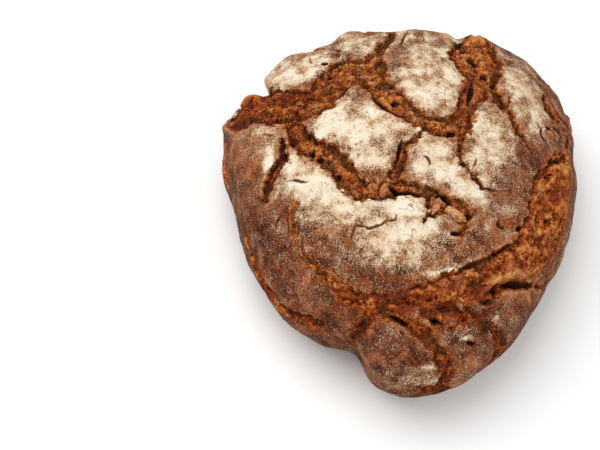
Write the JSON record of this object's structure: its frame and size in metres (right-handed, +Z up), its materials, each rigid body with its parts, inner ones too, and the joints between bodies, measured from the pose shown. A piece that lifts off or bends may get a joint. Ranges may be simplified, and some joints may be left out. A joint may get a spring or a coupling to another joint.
{
  "type": "buckwheat walnut bread",
  "caption": "Round rustic buckwheat and walnut loaf, uncut: floured crust plates, rough torn crumb between them, pieces of walnut in the tears, and a flat base to rest on.",
  "frame": {"origin": "middle of the loaf's footprint, on the surface that it stands on", "axes": "+Z up, -Y towards the side that the picture is taken from, +X to the right as seen from there"},
  "size_m": [0.2207, 0.2493, 0.0948],
  "materials": {
    "crust": "dry baked crust dusted with pale flour, rough",
    "kernel": "toasted walnut kernel, slightly oily"
  },
  "bodies": {
    "root": {"loaf": "crust", "walnut_1": "kernel", "walnut_2": "kernel", "walnut_3": "kernel", "walnut_4": "kernel", "walnut_5": "kernel", "walnut_6": "kernel", "walnut_7": "kernel", "walnut_8": "kernel", "walnut_9": "kernel", "walnut_10": "kernel"}
  },
  "joints": []
}
